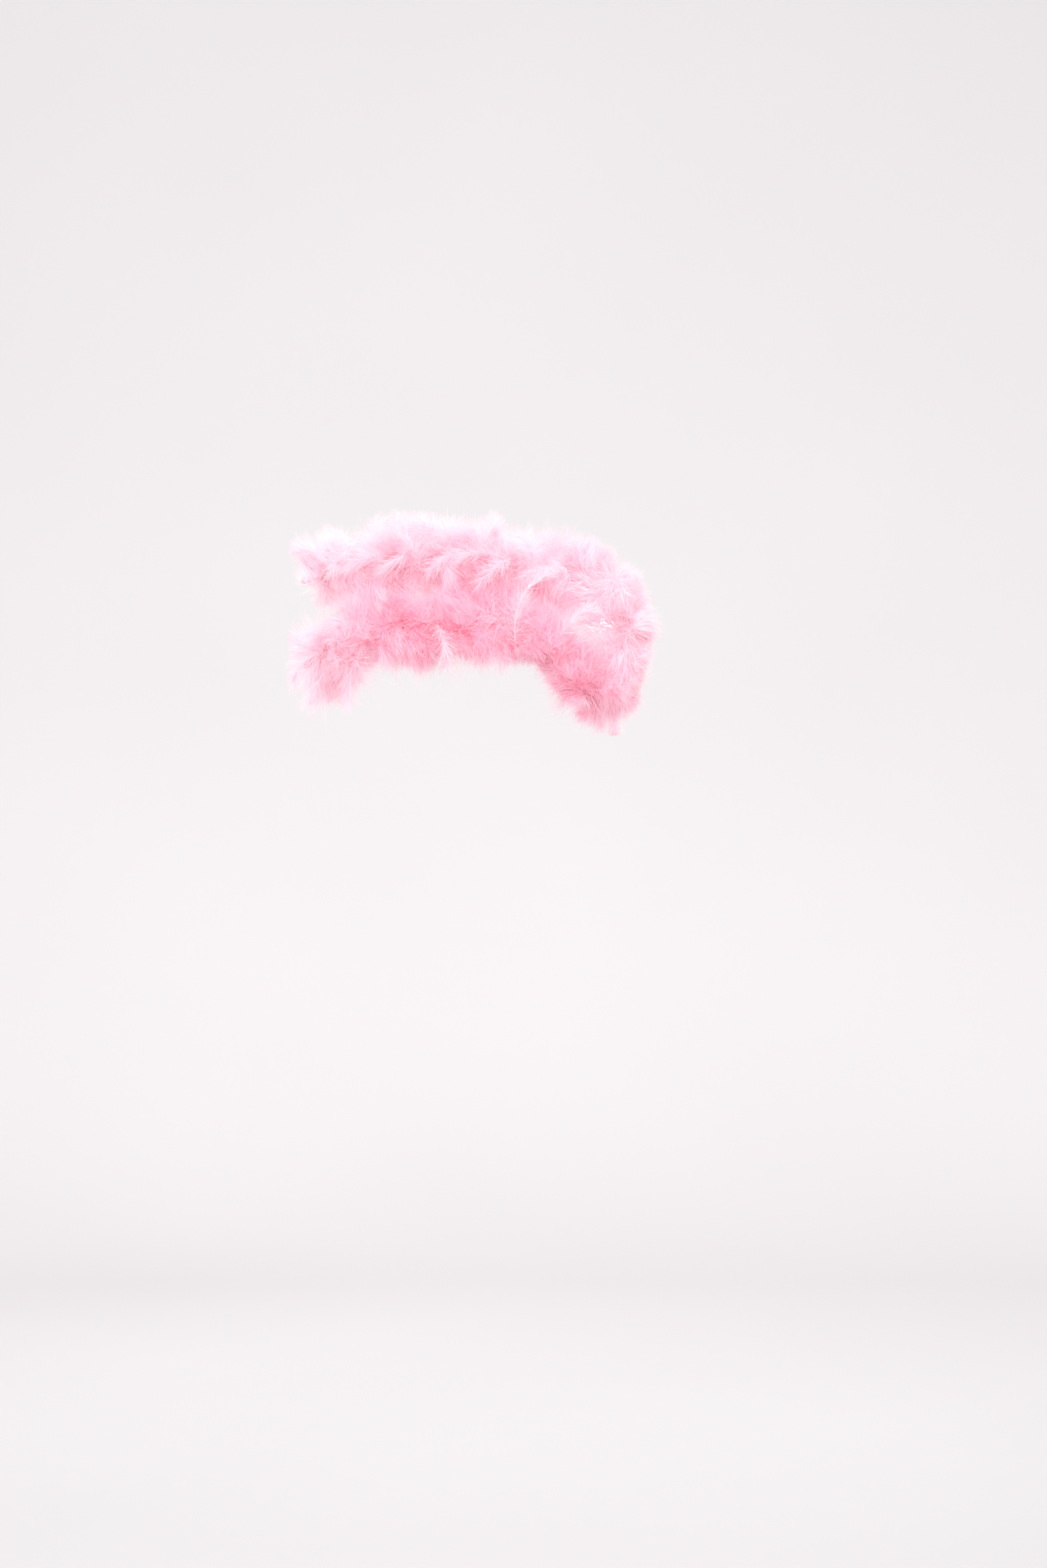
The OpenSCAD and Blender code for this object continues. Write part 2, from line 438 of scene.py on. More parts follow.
def quill_material():
    """Bare quill: smooth keratin, white with a little dye in it, streaked along its length."""
    material, tree, shader, _ = node_material("quill_keratin")
    uv, _ = uv_split(tree, TUBE_UV_NAME)
    streaks = scaled_noise(tree, uv.outputs["UV"], (9.0, 0.8, 1.0), 2.0, 3.0)
    colour = ramp(tree, [(0.25, (0.93, 0.62, 0.72)), (0.5, (0.98, 0.84, 0.88)),
                         (0.75, (1.0, 0.95, 0.96))])
    tree.links.new(streaks, colour.inputs["Fac"])
    tree.links.new(colour.outputs["Color"], shader.inputs["Base Color"])
    tree.links.new(remap(tree, streaks, 0.22, 0.42), shader.inputs["Roughness"])
    bump(tree, shader, streaks, 0.3, 0.0001)
    shader.inputs["Coat Weight"].default_value = 0.3
    return material


def glue_material():
    """Dried fabric glue: cloudy, a little yellow, glossy where it set smooth."""
    material, tree, shader, _ = node_material("dried_glue")
    uv, _ = uv_split(tree, TUBE_UV_NAME)
    cloud = scaled_noise(tree, uv.outputs["UV"], (4.0, 4.0, 1.0), 1.5, 4.0)
    colour = ramp(tree, [(0.3, (0.86, 0.66, 0.62)), (0.7, (0.95, 0.86, 0.80))])
    tree.links.new(cloud, colour.inputs["Fac"])
    tree.links.new(colour.outputs["Color"], shader.inputs["Base Color"])
    tree.links.new(remap(tree, cloud, 0.12, 0.35), shader.inputs["Roughness"])
    bump(tree, shader, cloud, 0.4, 0.0003)
    shader.inputs["Coat Weight"].default_value = 0.5
    return material


def paper_material():
    """The studio's pale paper, faintly mottled, with painted shade: greyer towards the front, where
    the lamps light it most.
    """
    material, tree, shader, _ = node_material("pale_paper")
    place = tree.nodes.new("ShaderNodeTexCoord")
    mottle = scaled_noise(tree, place.outputs["Object"], (1.0, 1.0, 1.0), 1.2, 2.0)
    colour = ramp(tree, [(0.3, (0.785, 0.77, 0.78)), (0.7, (0.805, 0.79, 0.80))])
    tree.links.new(mottle, colour.inputs["Fac"])
    depth = tree.nodes.new("ShaderNodeSeparateXYZ")
    tree.links.new(place.outputs["Object"], depth.inputs[0])
    # Painted shade: the paper is greyer towards the front, where the lamps light it most.
    painted_paper_shade = tree.nodes.new("ShaderNodeMapRange")
    painted_paper_shade.interpolation_type = "SMOOTHSTEP"
    painted_paper_shade.inputs["From Min"].default_value = -0.6
    painted_paper_shade.inputs["From Max"].default_value = 2.2
    painted_paper_shade.inputs["To Min"].default_value = 0.74
    tree.links.new(depth.outputs["Y"], painted_paper_shade.inputs["Value"])
    product = tree.nodes.new("ShaderNodeMix")
    product.data_type = "RGBA"
    product.blend_type = "MULTIPLY"
    product.inputs["Factor"].default_value = 1.0
    tree.links.new(colour.outputs["Color"], product.inputs["A"])
    tree.links.new(painted_paper_shade.outputs["Result"], product.inputs["B"])
    tree.links.new(product.outputs["Result"], shader.inputs["Base Color"])
    shader.inputs["Roughness"].default_value = 0.9
    return material


# ---------------------------------------------------------------- down

PLUMES_PER_TUFT = 38
BARBS_PER_PLUME = 92
BARB_POINTS = 6
UNDERDOWN_PER_TUFT = 600
WISPS_PER_TUFT = 150
FUZZ_PER_BARB = 6
# Shortest and longest in millimetres, before the tuft's fullness.
SHAFT_REACH = (19, 33)
BARB_REACH = (20, 33)
UNDERDOWN_REACH = (12, 24)
FUZZ_REACH = (1.8, 4.5)
BARB_WIDTH = 0.27 * MM
UNDERDOWN_WIDTH = 0.5 * MM
WISP_WIDTH = 0.24 * MM
LONG_PLUME_BARB_WIDTH = 0.30 * MM
SWIRL_WAVES = 16
SWIRL_LENGTH = (26, 80)
# Each family of pieces draws its random numbers from its own seeds.
SWIRL_SEED = 7
DOWN_SEED = 1000
STRING_SEED = 2000
LONG_PLUME_SEED = 3000
BARE_QUILL_SEED = 4000
DOWN_BOX_MARGIN = 1.5 * MM
# The down's leftmost reach, which is nearer than the limits.
DOWN_LEFT = -174 * MM
FALL = np.array([0.0, -0.05, -1.0])
# The mean tone of a tuft's plumes against its number, painted light and shade: paler on the back run,
# whose lower half lies in the front run's shadow, and deeper on the tail and the front run, where less
# light falls. 0 is the deepest, and a barb's tone goes no paler than TONES - 1.
LIGHT_AND_SHADE_TONE_OF_TUFT = ([0, 6, 10, 14, 17, 20, 29, 33], [14.5, 16, 13, 15, 14, 4, 4, 12])
TURN_MIDDLE = np.array([94, -32, -56]) * MM
# Where the outline departs from an even roll: the tuft in the middle of a change, how many tufts
# it spreads over, how flat its top is, the direction that it changes, how little it narrows away
# from that direction (1 or less), and the share of the length that it adds.
OUTLINE = [
    (21.8, 2.4, 4, (-0.78, 0.0, -0.62), 0.4, -0.86),
    (17.6, 1.3, 2, (0.80, 0.0, -0.60), 1.0, -0.50),
    (6.0, 5.5, 4, (0.0, 0.0, 1.0), 1.0, 0.08),
    (1.8, 0.9, 2, (0.0, 0.0, 1.0), 1.0, 0.16),
    (-0.2, 1.2, 2, (0.0, 0.0, 1.0), 1.0, -0.55),
]


def visual_limits():
    """The corners that no barb may pass: the CAD box grown by 3 per cent of its size and 10 mm, less
    DOWN_BOX_MARGIN.
    """
    low, high = (np.array(corner) for corner in CAD_BOX)
    grow = 0.03 * (high - low) + 10 * MM - DOWN_BOX_MARGIN
    return low - grow, high + grow


LIMIT_LOW, LIMIT_HIGH = visual_limits()
LIMIT_LOW[0] = max(LIMIT_LOW[0], DOWN_LEFT)


def swirl_waves():
    """Random waves whose sum bends neighbouring barbs the same way, as air and handling do."""
    rng = np.random.default_rng(SWIRL_SEED)
    n = SWIRL_WAVES
    wavelength = rng.uniform(*SWIRL_LENGTH, n) * MM
    vectors = unit(rng.normal(size=(n, 3))) * (2 * math.pi / wavelength)[:, None]
    return vectors, rng.uniform(0, 2 * math.pi, n), rng.normal(size=(n, 3)) / math.sqrt(n / 2)


SWIRL = swirl_waves()


def swirl(points):
    """The bending field at points, with components of about one."""
    vectors, phases, strengths = SWIRL
    return np.sin(points @ vectors.T + phases) @ strengths


def kept_inside(lines):
    """Lines shortened towards their roots until they are inside the limits."""
    for _ in range(6):
        out = np.maximum(LIMIT_LOW - lines, lines - LIMIT_HIGH).max(axis=(1, 2)) > 0
        if not out.any():
            break
        root = lines[out][:, :1]
        lines[out] = root + 0.8 * (lines[out] - root)
    return lines


def any_square(rng, v):
    """A random direction square to each of v."""
    return unit(np.cross(v, rng.normal(size=v.shape)))


def grown(rng, start, heading, reach, points, bending, curl, falling, towards=0.0):
    """Lines of given lengths that leave start along heading and bend as they go.

    They bend with the swirl that neighbours share, with a curl of their own, with their weight
    and towards a direction.
    """
    step = (reach / (points - 1))[:, None]
    own = curl[:, None] * any_square(rng, heading) + towards
    lines = [start]
    for _ in range(points - 1):
        heading = unit(heading + bending[:, None] * swirl(lines[-1]) + own
                       + falling[:, None] * FALL)
        lines.append(lines[-1] + step * heading)
    return np.stack(lines, axis=1)


def bell(i, middle, spread, power):
    """1 at tuft number middle, and less than half further than spread tufts away."""
    return math.exp(-abs((i - middle) / spread) ** power)


def fullness(i, root, outward):
    """How long the down of tuft i is in each outward direction, as a share of its usual length.

    It is short outside the hairpin, full towards its middle and long at the tail below it.
    """
    inward = (outward * unit(TURN_MIDDLE - root)).sum(1)
    downward = np.maximum(-outward[:, 2], 0.0)
    turning = bell(i, 16.0, 4.6, 4)
    full = (1.0 - 0.54 * turning * np.clip(0.5 - inward, 0.0, 1.0)
            + 0.30 * turning * np.maximum(inward, 0.0) + 0.40 * bell(i, 19.4, 1.5, 2) * downward)
    full *= 1.0 - 0.18 * bell(i, 0.0, 1.0, 1) + 0.06 * bell(i, 32.5, 2.0, 2)
    for middle, spread, power, way, softening, change in OUTLINE:
        toward = np.maximum(outward @ np.array(way), 0.0) ** softening
        full *= 1.0 + change * bell(i, middle, spread, power) * toward
    return full


def ring_places(rng, i, n, spread):
    """Random roots round the core in tuft i: places, directions outward and along, and fullness."""
    s = tuft_place(i) + rng.uniform(-spread, spread, n) * TUFT_PITCH
    s = np.clip(s, END_LENGTH - 4 * MM, BOA_LENGTH - END_LENGTH + 4 * MM)
    theta = 2 * math.pi * (np.arange(n) + rng.uniform(0, 1, n)) / n
    along, side, up = core_frame(s)
    outward = np.cos(theta)[:, None] * side + np.sin(theta)[:, None] * up
    root = route(s) + QUILL_RING_R * outward
    return root, outward, along, fullness(i, root, outward)


def end_splay(i):
    """How far the outermost tufts lean past the ends of the boa."""
    return 0.42 * math.exp(-i / 1.2) - 0.50 * math.exp(-(TUFT_COUNT - 1 - i) / 1.2)


def plume_shafts(rng, i):
    """Where the plumes of tuft i grow: lines along their shafts, and their fullness."""
    n = PLUMES_PER_TUFT
    root, outward, along, full = ring_places(rng, i, n, 0.6)
    lean = rng.normal(0, 0.55, n)[:, None] - end_splay(i)
    heading = unit(outward + lean * along)
    reach = full * rng.uniform(*SHAFT_REACH, n) * MM
    lines = grown(rng, root, heading, reach, 5,
                  np.full(n, 0.20), np.full(n, 0.12), np.full(n, 0.01))
    return kept_inside(lines), along, full


def on_line(lines, t):
    """Points at shares t (n, m) of the way along lines (n, k, 3), and the directions there."""
    k = lines.shape[1]
    low = np.minimum((t * (k - 1)).astype(int), k - 2)
    part = (t * (k - 1) - low)[..., None]
    rows = np.arange(len(lines))[:, None]
    a, b = lines[rows, low], lines[rows, low + 1]
    return a + part * (b - a), unit(b - a)


def barbs_of(rng, shafts, full, painted_light_and_shade_tone):
    """The barbs along plume shafts, as lines (n, k, 3), and the tone of each."""
    n, m = len(shafts), BARBS_PER_PLUME
    t = rng.uniform(0.0, 1.0, (n, m)) ** 0.8
    start, heading = on_line(shafts, t)
    opening = np.radians(60 - 24 * t + rng.normal(0, 12, (n, m)))[..., None]
    out = unit(np.cos(opening) * heading + np.sin(opening) * any_square(rng, heading))
    reach = full[:, None] * rng.uniform(*BARB_REACH, (n, m)) * (1 - 0.3 * t) * MM
    count = n * m
    lines = grown(rng, start.reshape(count, 3), out.reshape(count, 3), reach.ravel(), BARB_POINTS,
                  rng.uniform(0.14, 0.34, count), rng.uniform(0.04, 0.20, count),
                  rng.uniform(0.0, 0.07, count), 0.12 * heading.reshape(count, 3))
    # Each plume's tone varies at random round the tuft's tone of painted light and shade.
    plume_tone = painted_light_and_shade_tone + rng.normal(0, 3.0, n)[:, None]
    tones = np.clip(plume_tone + rng.normal(0, 2.0, (n, m)), 0, TONES - 1).astype(int)
    return kept_inside(lines), tones.ravel()


def underdown_of(rng, i):
    """Short dense barbs that hide the core."""
    n = UNDERDOWN_PER_TUFT
    root, outward, _, full = ring_places(rng, i, n, 0.55)
    heading = unit(outward + 0.5 * rng.normal(size=(n, 3)))
    reach = full * rng.uniform(*UNDERDOWN_REACH, n) * MM
    return kept_inside(grown(rng, root, heading, reach, 4,
                             np.full(n, 0.2), np.full(n, 0.15), np.zeros(n)))


def wisps_of(rng, i):
    """Long fine barbs that make the haze above and hang below."""
    n = WISPS_PER_TUFT
    root, outward, along, full = ring_places(rng, i, n, 0.6)
    lean = rng.normal(0, 0.35, n)[:, None] - end_splay(i)
    heading = unit(outward + lean * along)
    hanging = np.maximum(-outward[:, 2], 0.0)
    reach = full * rng.uniform(32, 48 + 18 * hanging, n) * MM
    falling = 0.02 + 0.12 * hanging * rng.uniform(0, 1, n)
    return kept_inside(grown(rng, root, heading, reach, 9,
                             np.full(n, 0.09), rng.uniform(0.02, 0.14, n), falling))


def add_barbs(rng, strands, lines, width, tones):
    """Ribbons along barb lines, tapering from the root to a fine tip."""
    n, k = lines.shape[:2]
    taper = 1.0 - 0.7 * np.linspace(0, 1, k) ** 2
    widths = width * rng.uniform(0.7, 1.3, n)[:, None] * taper[None]
    across = any_square(rng, lines[:, -1] - lines[:, 0])
    strands.ribbons(lines, widths, across, tones)


def add_fuzz(rng, strands, lines, tones, per_barb):
    """Barbules: tiny hairs on both sides of each barb."""
    n, k = lines.shape[:2]
    which = np.repeat(np.arange(n), per_barb)
    t = rng.uniform(0.15, 0.98, len(which)) * (k - 1)
    low = np.floor(t).astype(int)
    part = (t - low)[:, None]
    roots = lines[which, low] * (1 - part) + lines[which, low + 1] * part
    heading = unit(lines[which, low + 1] - lines[which, low])
    away = unit(0.75 * heading + any_square(rng, heading))
    length = rng.uniform(*FUZZ_REACH, len(which)) * MM
    widths = rng.uniform(0.08, 0.15, len(which)) * MM
    across = any_square(rng, away)
    place = 0.03 + 0.94 * t / (k - 1)
    tips = np.clip(roots + length[:, None] * away, LIMIT_LOW, LIMIT_HIGH)
    strands.hairs(roots, tips, widths, across, tones[which],
                  place, np.minimum(place + 0.15, 0.97))


def make_down(i, material):
    """All the down of one tuft, as one piece that stands for its CAD solid."""
    rng = np.random.default_rng(DOWN_SEED + i)
    strands = Strands()
    shafts, along, full = plume_shafts(rng, i)
    # Painted light and shade: the back run's down is paler to stand in for light, and the tail's and
    # front run's deeper to stand in for shade.
    painted_light_and_shade_tone = np.interp(i, *LIGHT_AND_SHADE_TONE_OF_TUFT)
    lines, tones = barbs_of(rng, shafts, full, painted_light_and_shade_tone)
    add_barbs(rng, strands, lines, BARB_WIDTH, tones)
    add_fuzz(rng, strands, lines, tones, FUZZ_PER_BARB)
    under = underdown_of(rng, i)
    under_tones = np.clip(painted_light_and_shade_tone + rng.normal(0, 3.0, len(under)), 0, TONES - 1).astype(int)
    add_barbs(rng, strands, under, UNDERDOWN_WIDTH, under_tones)
    wisps = wisps_of(rng, i)
    wisp_tones = rng.integers(TONES // 4, TONES, len(wisps))
    add_barbs(rng, strands, wisps, WISP_WIDTH, wisp_tones)
    add_fuzz(rng, strands, wisps, wisp_tones, 2 * FUZZ_PER_BARB)
    node = f"marabou_tuft_{i + 1:02d}"
    piece = put(f"down_of_tuft_{i + 1:02d}", strands.mesh(node), material)
    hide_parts(node)
    hold(piece, tuft_place(i))
    return shafts, along


# Plumes that stand clear of the rest: the tuft each one leaves, and four points in millimetres
# that pull its shaft into its arc.
LONG_PLUMES = [
    (24.3, [(30, -66, -80), (22, -96, -45), (40, -84, -12), (66, -58, -10)]),
    (22.2, [(60, -60, -86), (70, -84, -60), (84, -80, -40), (104, -62, -44)]),
    (31.8, [(-118, -60, -74), (-140, -72, -96), (-150, -66, -112), (-154, -58, -128)]),
    (31.1, [(-104, -62, -70), (-118, -76, -98), (-122, -70, -114), (-118, -60, -126)]),
    (32.7, [(-134, -60, -80), (-158, -70, -84), (-166, -62, -96), (-169, -56, -108)]),
    (18.9, [(108, -44, -124), (114, -54, -136), (118, -48, -146), (116, -40, -153)]),
    (0.3, [(-136, -22, -4), (-150, -44, 10), (-158, -42, 14), (-167, -32, 10)]),
    (6.8, [(-6, -34, 4), (-4, -50, 16), (2, -46, 26), (12, -36, 34)]),
    (14.8, [(128, -40, -50), (138, -52, -46), (147, -46, -52), (151, -36, -62)]),
    (27.8, [(-40, -76, -56), (-34, -96, -72), (-30, -88, -82), (-33, -74, -92)]),
    (2.6, [(-92, -30, 2), (-98, -52, 8), (-110, -56, 2), (-124, -50, -8)]),
    (3.8, [(-66, -30, 8), (-62, -54, 12), (-76, -58, 2), (-92, -50, -10)]),
    (4.4, [(-58, -30, -4), (-54, -54, -2), (-60, -60, 12), (-74, -50, 24)]),
    (5.6, [(-30, -30, 6), (-34, -54, 2), (-28, -58, -10), (-34, -52, -26)]),
    (6.4, [(-16, -30, 8), (-22, -54, 12), (-36, -58, 2), (-50, -50, -10)]),
    (7.6, [(12, -30, 6), (4, -54, 10), (-12, -58, 6), (-28, -50, 2)]),
    (8.4, [(26, -30, 4), (20, -54, 2), (6, -58, -8), (-6, -50, -22)]),
    (9.2, [(40, -30, -4), (46, -54, 2), (44, -60, 12), (34, -48, 24)]),
    (11.0, [(76, -30, -4), (68, -54, -6), (52, -58, -6), (38, -50, -14)]),
]
LONG_PLUME_BARBS = 240
LONG_PLUME_BARB_REACH = (14, 30)
# Where bare quills show between the plumes: the tuft, the place in millimetres and how many.
BARE_QUILLS = [(15.4, (106, -57, -57), 24), (6.8, (-9, -42, 2), 3), (7.3, (4, -42, -16), 2)]


def arc(points, k):
    """k places on the cubic curve that four points in millimetres control."""
    u = np.linspace(0, 1, k)[:, None]
    a, b, c, d = np.array(points, float) * MM
    return (1 - u) ** 3 * a + 3 * (1 - u) ** 2 * u * b + 3 * (1 - u) * u ** 2 * c + u ** 3 * d


def make_long_plumes(down, quill):
    """The plumes that stand clear: for each, its barbs as one piece and its shaft as another."""
    for k, (place, points) in enumerate(LONG_PLUMES):
        rng = np.random.default_rng(LONG_PLUME_SEED + k)
        shaft = arc(points, 13)
        t = rng.uniform(0.05, 0.95, (1, LONG_PLUME_BARBS))
        start, heading = (found[0] for found in on_line(shaft[None], t))
        opening = np.radians(rng.uniform(10, 60, LONG_PLUME_BARBS))[:, None]
        out = unit(np.cos(opening) * heading + np.sin(opening) * any_square(rng, heading))
        reach = rng.uniform(*LONG_PLUME_BARB_REACH, LONG_PLUME_BARBS) * (1 - 0.4 * t[0]) * MM
        n = LONG_PLUME_BARBS
        lines = kept_inside(grown(rng, start, out, reach, 8, np.full(n, 0.05),
                                  rng.uniform(0.0, 0.06, n), rng.uniform(0.0, 0.06, n),
                                  0.05 * heading))
        tones = rng.integers(TONES // 2, TONES, n)
        strands = Strands()
        add_barbs(rng, strands, lines, LONG_PLUME_BARB_WIDTH, tones)
        add_fuzz(rng, strands, lines, tones, 2 * FUZZ_PER_BARB)
        name = f"long_plume_{k + 1:02d}"
        piece = put(name, strands.mesh(name), down)
        hold(piece, tuft_place(place))
        strands = Strands()
        radii = np.linspace(0.42, 0.08, len(shaft)) * MM
        strands.tube(shaft, np.repeat(radii[:, None], 8, axis=1))
        name = f"long_plume_shaft_{k + 1:02d}"
        piece = put(name, strands.mesh(name, TUBE_UV_NAME), quill)
        hold(piece, tuft_place(place))


def make_bare_quills(quill):
    """Short curved quill ends that lie on the down where plumes were cut."""
    for k, (place, middle, count) in enumerate(BARE_QUILLS):
        rng = np.random.default_rng(BARE_QUILL_SEED + k)
        strands = Strands()
        for _ in range(count):
            root = np.array(middle) + rng.normal(0, 1, 3) * np.array([5.0, 1.5, 2.8])
            way = unit(np.array([-0.8, -0.1, 0.35]) + 0.38 * rng.normal(size=3))
            side = unit(np.cross(way, rng.normal(size=3)))
            length = rng.uniform(4, 8)
            bend = rng.uniform(0.04, 0.22) * length
            path = arc([root, root + way * length / 3 + side * bend,
                        root + way * length * 2 / 3 + side * bend, root + way * length], 9)
            # Each quill is widest near its cut end and flattened, as if pinched.
            radii = np.interp(np.linspace(0, 1, 9), [0, 0.15, 0.5, 1], [0.25, 0.60, 0.42, 0.10])
            pinch = 0.6 + 0.4 * np.abs(np.cos(2 * math.pi * np.arange(10) / 10))
            strands.tube(path, radii[:, None] * pinch[None] * rng.uniform(0.8, 1.2) * MM)
        name = f"bare_quills_{k + 1}"
        piece = put(name, strands.mesh(name, TUBE_UV_NAME), quill)
        hold(piece, tuft_place(place))


# ---------------------------------------------------------------- core, quills and threads

def run_middle(first, last):
    """The length at the middle of a run, from its first and last tufts."""
    return tuft_place((first + last) / 2)


# The strings, quills and thread are each four pieces: each crosses one joint, and they meet at
# the middles of the runs between the joints. Each stands for the CAD nodes of the runs named.
PARTS = [
    (SEAL_LENGTH, run_middle(3, 11), ["upper_end", "back_run"]),
    (run_middle(3, 11), run_middle(12, 23), ["right_turn"]),
    (run_middle(12, 23), run_middle(24, 30), ["front_run"]),
    (run_middle(24, 30), BOA_LENGTH - SEAL_LENGTH, ["front_end"]),
]


def across_joint(piece, k):
    """Leaves part k of the core, which crosses joint k counted from the upper end, with no body and
    its place baked into its mesh.
    """
    hold(piece, JOINTS[k][0], always=True)


def helix(s, radius, pitch, phase):
    """Points of a helix round the core."""
    _, side, up = core_frame(s)
    angle = (2 * math.pi * s / pitch + phase)[:, None]
    return route(s) + radius * (np.cos(angle) * side + np.sin(angle) * up)


def plied(path, radius, sides, plies, pitch, relief):
    """Radii of a tube along path that looks twisted from plies."""
    run = np.concatenate([[0.0], np.cumsum(np.linalg.norm(np.diff(path, axis=0), axis=1))])
    theta = 2 * math.pi * np.arange(sides) / sides
    wave = np.abs(np.cos(0.5 * plies * (theta[None] - 2 * math.pi * run[:, None] / pitch)))
    return radius * (1 - relief + relief * wave)


def add_fibres(rng, strands, path, radius, count, length):
    """Loose fibres that stand out of a string."""
    k = rng.integers(1, len(path) - 1, count)
    way = unit(path[k + 1] - path[k - 1])
    out = any_square(rng, way)
    root = path[k] + 0.9 * radius * out
    reach = length * rng.uniform(0.4, 1.0, count)[:, None]
    tip = root + reach * unit(out + rng.normal(0, 0.7, (count, 3)))
    place = np.full(count, 0.5)
    strands.hairs(root, tip, np.full(count, 0.05 * MM), any_square(rng, tip - root),
                  np.zeros(count), place, place)


def make_strings(material):
    """The two strings of the core, laid round each other, each of three plies."""
    for letter, phase in (("a", 0.0), ("b", math.pi)):
        for k, (start, end, runs) in enumerate(PARTS):
            rng = np.random.default_rng(STRING_SEED + 10 * k + int(phase))
            s = np.arange(start, end + 0.5 * MM, 1.0 * MM)
            path = helix(s, LAY_R, LAY_PITCH, phase)
            strands = Strands()
            strands.tube(path, plied(path, STRING_R, 18, 3, 5 * MM, 0.18))
            add_fibres(rng, strands, path, STRING_R, 4 * len(path), 2.2 * MM)
            piece = put(f"laid_string_{letter}_{k + 1}",
                        strands.mesh(f"laid_string_{letter}_{k + 1}", TUBE_UV_NAME),
                        material)
            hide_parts(*[f"core_string_{letter}_{run}" for run in runs])
            across_joint(piece, k)


def make_binding(material):
    """The thread wound over the quills, two strands that cross."""
    first, last = tuft_place(-0.3), tuft_place(TUFT_COUNT - 0.7)
    for k, (start, end, runs) in enumerate(PARTS):
        s = np.arange(max(start, first), min(end, last), 0.35 * MM)
        strands = Strands()
        for pitch, radius, phase in ((5.2 * MM, THREAD_LAY_R, 0.0),
                                     (-8.1 * MM, THREAD_LAY_R + 0.3 * MM, 1.3)):
            uneven = 0.12 * MM * np.sin(s / (3.7 * MM))[:, None]
            path = helix(s, radius + uneven, pitch, phase)
            strands.tube(path, plied(path, 0.19 * MM, 8, 2, 1.6 * MM, 0.25))
        name = f"wound_thread_{k + 1}"
        piece = put(name, strands.mesh(name, TUBE_UV_NAME), material)
        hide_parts(*[f"binding_thread_{run}" for run in runs])
        across_joint(piece, k)


def make_quills(all_shafts, material):
    """Each plume's quill: bare along the core, then bent out into the plume's shaft."""
    for k, (start, end, runs) in enumerate(PARTS):
        strands = Strands()
        for i, (shafts, along) in enumerate(all_shafts):
            if not start <= tuft_place(i) < end:
                continue
            for shaft, way in zip(shafts, along):
                lying = [shaft[0] - (6 * MM) * way, shaft[0] - (2 * MM) * way]
                path = np.concatenate([lying, shaft])
                radii = np.array([0.22, 0.40, 0.38, 0.30, 0.22, 0.15, 0.08]) * MM
                strands.tube(path, np.repeat(radii[:, None], 5, axis=1))
        name = f"plume_quills_{k + 1}"
        piece = put(name, strands.mesh(name, TUBE_UV_NAME), material)
        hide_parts(*[f"quills_{run}" for run in runs])
        across_joint(piece, k)


def make_end(name, middle, outward, thread, glue):
    """One end of the core: thread whipped round the strings, and glue over their cut ends."""
    turns = WHIPPING_LENGTH / WHIPPING_PITCH
    angle = np.linspace(0, turns * 2 * math.pi, int(turns * 22))
    s = middle + (angle / angle[-1] - 0.5) * (WHIPPING_LENGTH - 0.6 * MM)
    _, side, up = core_frame(s)
    strands = Strands()
    radius = (WHIPPING_R - 0.28 * MM) * (1 + 0.012 * np.sin(7.3 * angle))[:, None]
    path = route(s) + radius * (np.cos(angle)[:, None] * side + np.sin(angle)[:, None] * up)
    strands.tube(path, plied(path, 0.29 * MM, 8, 2, 2.2 * MM, 0.2))
    whipping = put(f"whipped_thread_{name}", strands.mesh(f"whipped_thread_{name}", TUBE_UV_NAME),
                   thread)
    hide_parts(f"whipping_{name}")
    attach(whipping, name)

    edge = middle + outward * WHIPPING_LENGTH / 2
    way = outward * core_frame(edge)[0]
    rings, sides = 14, 28
    depth = np.linspace(0, 1, rings)
    dome = route(edge) + (SEAL_LENGTH * np.sin(depth * math.pi / 2))[:, None] * way
    theta = 2 * math.pi * np.arange(sides) / sides
    lump = 1 - 0.05 * (1 + np.sin(3 * theta[None] + 4 * depth[:, None] + outward))
    radii = (WHIPPING_R - 0.2 * MM) * np.cos(depth * math.pi / 2 * 0.97)[:, None] * lump
    strands = Strands()
    strands.tube(dome, radii)
    seal = put(f"glue_dab_{name}", strands.mesh(f"glue_dab_{name}", TUBE_UV_NAME), glue)
    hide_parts(f"end_seal_{name}")
    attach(seal, name)


def make_tacks(material):
    """Each tack: two turns of doubled thread round the core, and a knot with two cut tails."""
    strands = Strands()
    for place in TACK_PLACES:
        centre = route(tuft_place(place)) * np.array([1, 0, 1]) - np.array([0, TACK_LOOP_R, 0])
        angle = np.linspace(0, 4 * math.pi, 160)
        loop = np.stack([0.45 * MM * np.sin(angle / 2) * np.sign(np.cos(angle / 4)),
                         TACK_LOOP_R * np.cos(angle), TACK_LOOP_R * np.sin(angle)], axis=1)
        path = centre + loop
        strands.tube(path, plied(path, 0.34 * MM, 10, 2, 2.4 * MM, 0.22))
        knot = centre + np.array([0, TACK_LOOP_R, 0])
        turn = np.linspace(0, 2 * math.pi, 60)
        trefoil = np.stack([np.sin(turn) + 2 * np.sin(2 * turn), np.sin(3 * turn) * 0.8,
                            np.cos(turn) - 2 * np.cos(2 * turn)], axis=1)
        path = knot + 0.38 * MM * trefoil
        strands.tube(path, plied(path, 0.32 * MM, 10, 2, 2.4 * MM, 0.22))
        for lean in (-1.0, 1.0):
            u = np.linspace(0, 1, 14)[:, None]
            path = knot + MM * (np.array([1.6 * lean, 0.6, -1.0]) * u
                                + np.array([1.2 * lean, 1.4, -3.6]) * u ** 2)
            strands.tube(path, plied(path, 0.30 * MM, 10, 2, 2.4 * MM, 0.22))
    piece = put("tack_loops", strands.mesh("tack_loops", TUBE_UV_NAME), material)
    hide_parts("garment_tacks")
    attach(piece, "back_run")


# ---------------------------------------------------------------- camera, light and backdrop

